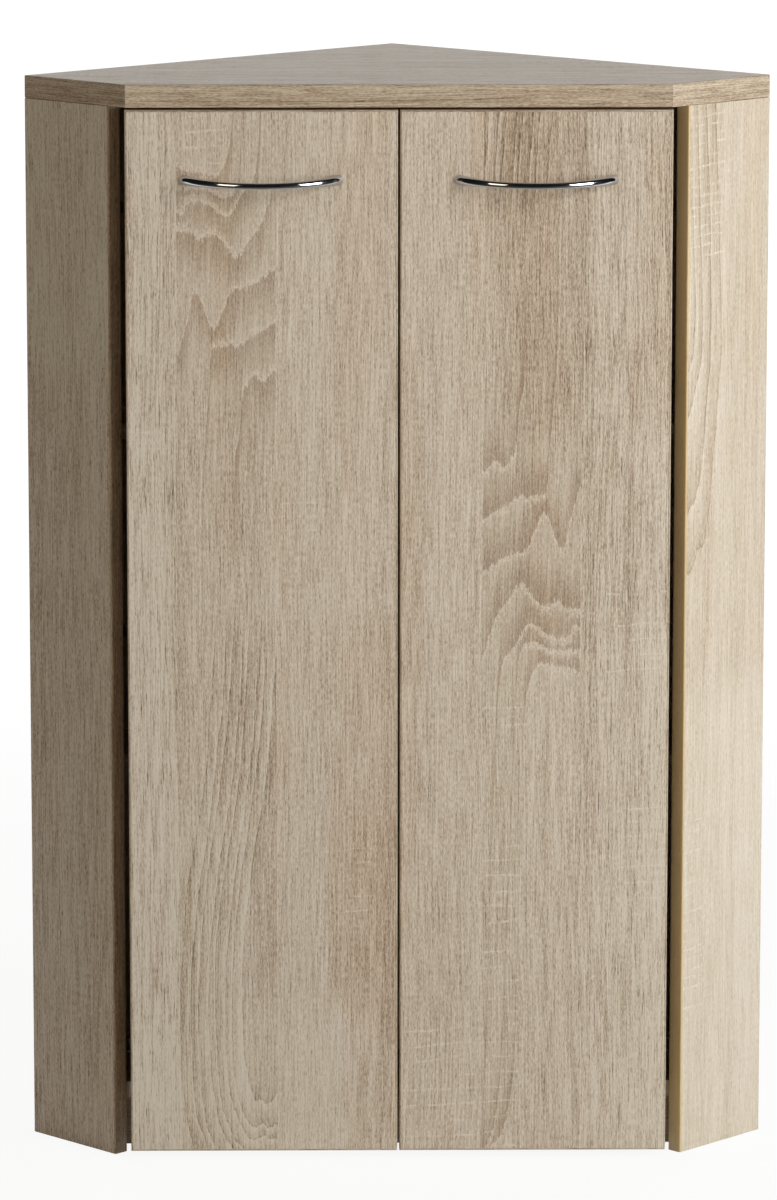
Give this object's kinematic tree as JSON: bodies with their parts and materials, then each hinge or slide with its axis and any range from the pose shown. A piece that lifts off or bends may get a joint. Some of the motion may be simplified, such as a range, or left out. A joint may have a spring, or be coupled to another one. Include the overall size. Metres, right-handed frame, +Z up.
{
  "type": "corner cupboard",
  "caption": "Free-standing corner cupboard with double doors across the corner on concealed hinges, bow handles, and shelves on pins inside.",
  "frame": {"origin": "on the floor, under the middle of the bounding box", "axes": "+Z up; -Y towards the room, out of the doors' faces; +Y into the corner of the room; +X to the right, seen from the room"},
  "size_m": [0.8146, 0.5604, 1.19],
  "materials": {
    "sawn_oak_board": "melamine foil with a rough-sawn light oak decor, matt",
    "oak_edging": "2 mm edging strip in the boards' decor, satin, rounded edges",
    "chromed_handle": "bright chrome",
    "hinge_nickel": "nickel-plated pressed steel",
    "hinge_zinc": "zinc-plated steel",
    "fittings_zinc": "zinc-plated steel"
  },
  "bodies": {
    "carcass": {"top_panel": "sawn_oak_board", "top_edging_left": "oak_edging", "top_edging_front": "oak_edging", "top_edging_right": "oak_edging", "left_side_panel": "sawn_oak_board", "left_side_edging": "oak_edging", "left_back_panel": "sawn_oak_board", "right_side_panel": "sawn_oak_board", "right_side_edging": "oak_edging", "right_back_panel": "sawn_oak_board", "bottom_panel": "sawn_oak_board", "bottom_panel_edging": "oak_edging", "plinth_rail": "sawn_oak_board", "lower_shelf": "sawn_oak_board", "lower_shelf_edging": "oak_edging", "upper_shelf": "sawn_oak_board", "upper_shelf_edging": "oak_edging", "left_front_pin_lower": "fittings_zinc", "left_front_pin_upper": "fittings_zinc", "left_back_pin_lower": "fittings_zinc", "left_back_pin_upper": "fittings_zinc", "right_front_pin_lower": "fittings_zinc", "right_front_pin_upper": "fittings_zinc", "right_back_pin_lower": "fittings_zinc", "right_back_pin_upper": "fittings_zinc", "left_lower_hinge_arm": "hinge_nickel", "left_middle_hinge_arm": "hinge_nickel", "left_upper_hinge_arm": "hinge_nickel", "right_lower_hinge_arm": "hinge_nickel", "right_middle_hinge_arm": "hinge_nickel", "right_upper_hinge_arm": "hinge_nickel"},
    "left_door": {"left_door_panel": "sawn_oak_board", "left_door_edging": "oak_edging", "left_handle": "chromed_handle", "left_handle_screw_outer": "fittings_zinc", "left_handle_screw_inner": "fittings_zinc", "left_lower_hinge_cup": "hinge_nickel", "left_middle_hinge_cup": "hinge_nickel", "left_upper_hinge_cup": "hinge_nickel"},
    "left_lower_outer_link": {"left_lower_hinge_outer_link": "hinge_zinc"},
    "left_lower_inner_link": {"left_lower_hinge_inner_link": "hinge_zinc"},
    "left_middle_outer_link": {"left_middle_hinge_outer_link": "hinge_zinc"},
    "left_middle_inner_link": {"left_middle_hinge_inner_link": "hinge_zinc"},
    "left_upper_outer_link": {"left_upper_hinge_outer_link": "hinge_zinc"},
    "left_upper_inner_link": {"left_upper_hinge_inner_link": "hinge_zinc"},
    "right_door": {"right_door_panel": "sawn_oak_board", "right_door_edging": "oak_edging", "right_handle": "chromed_handle", "right_handle_screw_outer": "fittings_zinc", "right_handle_screw_inner": "fittings_zinc", "right_lower_hinge_cup": "hinge_nickel", "right_middle_hinge_cup": "hinge_nickel", "right_upper_hinge_cup": "hinge_nickel"},
    "right_lower_outer_link": {"right_lower_hinge_outer_link": "hinge_zinc"},
    "right_lower_inner_link": {"right_lower_hinge_inner_link": "hinge_zinc"},
    "right_middle_outer_link": {"right_middle_hinge_outer_link": "hinge_zinc"},
    "right_middle_inner_link": {"right_middle_hinge_inner_link": "hinge_zinc"},
    "right_upper_outer_link": {"right_upper_hinge_outer_link": "hinge_zinc"},
    "right_upper_inner_link": {"right_upper_hinge_inner_link": "hinge_zinc"}
  },
  "joints": [
    {"name": "left_middle_outer_link_swing", "type": "hinge", "parent": "carcass", "child": "left_middle_outer_link", "pos_m": [-0.26995, -0.20842, 0.5856], "axis": [0, 0, -1], "range_deg": [0, 33]},
    {"name": "left_door_swing", "type": "hinge", "parent": "left_middle_outer_link", "child": "left_door", "pos_m": [-0.28016, -0.23052, 0.5856], "axis": [0, 0, -1], "range_deg": [0, 60]},
    {"name": "left_lower_outer_link_swing", "type": "hinge", "parent": "carcass", "child": "left_lower_outer_link", "pos_m": [-0.26995, -0.20842, 0.1187], "axis": [0, 0, -1], "range_deg": [0, 33]},
    {"name": "left_upper_outer_link_swing", "type": "hinge", "parent": "carcass", "child": "left_upper_outer_link", "pos_m": [-0.26995, -0.20842, 1.0525], "axis": [0, 0, -1], "range_deg": [0, 33]},
    {"name": "left_lower_inner_link_swing", "type": "hinge", "parent": "carcass", "child": "left_lower_inner_link", "pos_m": [-0.27646, -0.20531, 0.1187], "axis": [0, 0, -1], "range_deg": [0, 33]},
    {"name": "left_middle_inner_link_swing", "type": "hinge", "parent": "carcass", "child": "left_middle_inner_link", "pos_m": [-0.27646, -0.20531, 0.5856], "axis": [0, 0, -1], "range_deg": [0, 33]},
    {"name": "left_upper_inner_link_swing", "type": "hinge", "parent": "carcass", "child": "left_upper_inner_link", "pos_m": [-0.27646, -0.20531, 1.0525], "axis": [0, 0, -1], "range_deg": [0, 33]},
    {"name": "right_middle_outer_link_swing", "type": "hinge", "parent": "carcass", "child": "right_middle_outer_link", "pos_m": [0.26995, -0.20842, 0.5856], "axis": [0, 0, 1], "range_deg": [0, 33]},
    {"name": "right_door_swing", "type": "hinge", "parent": "right_middle_outer_link", "child": "right_door", "pos_m": [0.28016, -0.23052, 0.5856], "axis": [0, 0, 1], "range_deg": [0, 60]},
    {"name": "right_lower_outer_link_swing", "type": "hinge", "parent": "carcass", "child": "right_lower_outer_link", "pos_m": [0.26995, -0.20842, 0.1187], "axis": [0, 0, 1], "range_deg": [0, 33]},
    {"name": "right_upper_outer_link_swing", "type": "hinge", "parent": "carcass", "child": "right_upper_outer_link", "pos_m": [0.26995, -0.20842, 1.0525], "axis": [0, 0, 1], "range_deg": [0, 33]},
    {"name": "right_lower_inner_link_swing", "type": "hinge", "parent": "carcass", "child": "right_lower_inner_link", "pos_m": [0.27646, -0.20531, 0.1187], "axis": [0, 0, 1], "range_deg": [0, 33]},
    {"name": "right_middle_inner_link_swing", "type": "hinge", "parent": "carcass", "child": "right_middle_inner_link", "pos_m": [0.27646, -0.20531, 0.5856], "axis": [0, 0, 1], "range_deg": [0, 33]},
    {"name": "right_upper_inner_link_swing", "type": "hinge", "parent": "carcass", "child": "right_upper_inner_link", "pos_m": [0.27646, -0.20531, 1.0525], "axis": [0, 0, 1], "range_deg": [0, 33]}
  ],
  "couplings": [
    {"joint": "left_lower_outer_link_swing", "follows": "left_door_swing", "ratio": 0.55},
    {"joint": "left_lower_inner_link_swing", "follows": "left_door_swing", "ratio": 0.55},
    {"joint": "left_middle_outer_link_swing", "follows": "left_door_swing", "ratio": 0.55},
    {"joint": "left_middle_inner_link_swing", "follows": "left_door_swing", "ratio": 0.55},
    {"joint": "left_upper_outer_link_swing", "follows": "left_door_swing", "ratio": 0.55},
    {"joint": "left_upper_inner_link_swing", "follows": "left_door_swing", "ratio": 0.55},
    {"joint": "right_lower_outer_link_swing", "follows": "right_door_swing", "ratio": 0.55},
    {"joint": "right_lower_inner_link_swing", "follows": "right_door_swing", "ratio": 0.55},
    {"joint": "right_middle_outer_link_swing", "follows": "right_door_swing", "ratio": 0.55},
    {"joint": "right_middle_inner_link_swing", "follows": "right_door_swing", "ratio": 0.55},
    {"joint": "right_upper_outer_link_swing", "follows": "right_door_swing", "ratio": 0.55},
    {"joint": "right_upper_inner_link_swing", "follows": "right_door_swing", "ratio": 0.55}
  ]
}
